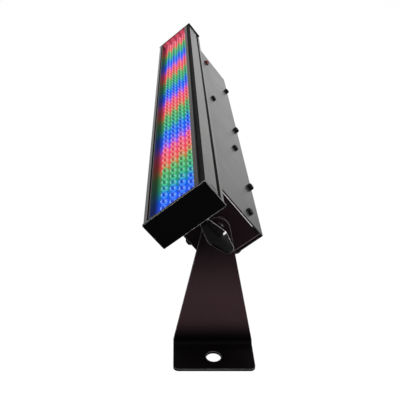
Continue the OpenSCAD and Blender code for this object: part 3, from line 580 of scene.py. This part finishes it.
def knob(name, cad_node, side):
    """A glossy two-winged knob on a collar, with a crowned face. side is 1 at +x, -1 at -x."""
    low, high = bar_box(cad_node)
    base = low.x if side > 0 else high.x
    height = side * (high.x - low.x)
    outline = knob_outline(high.z - KNOB_TIP_R)
    bm = bmesh.new()

    rings = []
    for width, rise in KNOB_RINGS:
        ring = []
        for centre, dz, dy in outline:
            z = centre + dz * width
            out = abs(z) / high.z
            up = max(0.0, (rise - WING_DROP_FROM) / (WING_DROP_TO - WING_DROP_FROM))
            x = base + height * rise * (1 - WING_DROP * out * out * up)
            ring.append(bm.verts.new((x, dy * width, z)))
        rings.append(ring)
    skin(bm, rings)

    angles = [2 * math.pi * i / COLLAR_STEPS for i in range(COLLAR_STEPS)]
    skin(bm, [[bm.verts.new((base + height * rise, r * math.cos(a), r * math.sin(a)))
               for a in angles] for r, rise in COLLAR_RINGS])

    bm.transform(BAR_TO_WORLD)
    bmesh.ops.remove_doubles(bm, verts=bm.verts, dist=1e-6)
    bmesh.ops.recalc_face_normals(bm, faces=bm.faces)
    mesh = bpy.data.meshes.new(name)
    bm.to_mesh(mesh)
    bm.free()
    for face in mesh.polygons:
        face.use_smooth = True
    mesh.set_sharp_from_angle(angle=SHARP_ANGLE)
    mesh.materials.append(paint["knob_plastic"])
    obj = add_object(name, mesh)
    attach(obj, cad_node)
    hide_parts(cad_node)


knob("right_knob_moulding", "right_knob", 1)
knob("left_knob_moulding", "left_knob", -1)

# ---- Floor and surroundings ----

FLOOR_HALF = 6
FLOOR_DROP = 0.0005

# Share of the floor's look that no shadow reaches, and its white, just above the picture's
FLOOR_UNSHADED = 0.92
FLOOR_WHITE = 1.04

# Strength of the world's pale grey as a light and as the picture's background
WORLD_GREY = (0.8, 0.8, 0.8)
WORLD_LIGHT = 0.55
WORLD_BACKDROP = 1.3

# What glossy paint reflects: dim on the camera's side, bright where the camera looks to
REFLECTED_TOWARDS = (-0.97, -0.24, 0.0)
REFLECTED_DIM = 0.04
REFLECTED_BRIGHT = 0.95


def surroundings(g, path, plain, direction):
    """A plain brightness, but for glossy rays one that grows towards one side."""
    aim = g.add("ShaderNodeVectorMath", operation="DOT_PRODUCT")
    g.feed(aim.inputs[0], direction)
    aim.inputs[1].default_value = REFLECTED_TOWARDS
    level = g.add("ShaderNodeMix", data_type="FLOAT")
    g.feed(level.inputs[0], path["Is Glossy Ray"])
    g.feed(level.inputs[2], plain)
    g.feed(level.inputs[3],
           g.ramp(aim.outputs["Value"], -0.1, 0.95, REFLECTED_DIM, REFLECTED_BRIGHT))
    return level.outputs[0]


def floor_paint():
    """White to the camera but for a faint shadow, and lit from one side in reflections."""
    g = material_graph("stage_floor")
    diffuse = g.add("ShaderNodeBsdfDiffuse")
    diffuse.inputs["Color"].default_value = (0.9, 0.9, 0.9, 1)
    away = g.add("ShaderNodeVectorMath", operation="NORMALIZE")
    g.feed(away.inputs[0], g.world())
    path = g.add("ShaderNodeLightPath").outputs
    white = g.add("ShaderNodeEmission")
    g.feed(white.inputs["Strength"], surroundings(g, path, FLOOR_WHITE, away.outputs[0]))
    seen = g.math("MAXIMUM", path["Is Camera Ray"], path["Is Glossy Ray"])
    mix = g.add("ShaderNodeMixShader")
    g.feed(mix.inputs[0], g.times(seen, FLOOR_UNSHADED))
    g.feed(mix.inputs[1], diffuse.outputs[0])
    g.feed(mix.inputs[2], white.outputs[0])
    g.feed(g.output.inputs["Surface"], mix.outputs[0])


def fill_world(world):
    """Even pale light all round, white to the camera, and from one side in reflections."""
    g = Graph(world, "ShaderNodeOutputWorld")
    path = g.add("ShaderNodeLightPath").outputs
    plain = g.ramp(path["Is Camera Ray"], 0.0, 1.0, WORLD_LIGHT, WORLD_BACKDROP)
    direction = g.add("ShaderNodeTexCoord").outputs["Generated"]
    back = g.add("ShaderNodeBackground")
    g.feed(back.inputs["Color"], WORLD_GREY)
    g.feed(back.inputs["Strength"], surroundings(g, path, plain, direction))
    g.feed(g.output.inputs["Surface"], back.outputs[0])


floor_mesh = bpy.data.meshes.new("stage_floor")
floor_mesh.from_pydata([(x * FLOOR_HALF, y * FLOOR_HALF, 0)
                        for x, y in ((-1, -1), (1, -1), (1, 1), (-1, 1))], [], [(0, 1, 2, 3)])
floor_paint()
floor_mesh.materials.append(paint["stage_floor"])
floor = add_object("stage_floor", floor_mesh, (0, 0, -FLOOR_DROP))

bpy.context.scene.world = bpy.data.worlds.new("studio")
fill_world(bpy.context.scene.world)

# ---- Lamps and camera ----


def lamp(name, place, aim, size, power):
    data = bpy.data.lights.new(name, "AREA")
    data.shape = "RECTANGLE"
    data.size, data.size_y = size
    data.energy = power
    turn = (Vector(aim) - Vector(place)).to_track_quat("-Z", "Y").to_euler()
    add_object(name, data, place).rotation_euler = turn


lamp("key", (0.6, -1.4, 2.2), (0, 0, 0.2), (1.6, 1.2), 24)
lamp("fill", (0.2, 1.8, 1.6), (0, 0, 0.2), (1.6, 1.2), 14)
lamp("spark", (0.84, 0.9, 0.33), (0.42, 0, 0.2), (0.5, 0.25), 9)

# The photograph's viewpoint, from a fit to the object's outline: it looks along -x and down
CAMERA_PLACE = (1.1814, -0.0585, 0.6506)
CAMERA_DOWN = math.radians(26.93)
CAMERA_LENS = 55.8
CAMERA_SHIFT = 0.06125

camera_data = bpy.data.cameras.new("camera")
camera_data.sensor_width = 36
camera_data.lens = CAMERA_LENS
camera_data.shift_x = CAMERA_SHIFT
camera = add_object("camera", camera_data, CAMERA_PLACE)
camera.rotation_euler = (math.radians(90) - CAMERA_DOWN, 0, math.radians(90))
bpy.context.scene.camera = camera
bpy.context.scene.view_settings.view_transform = "Standard"
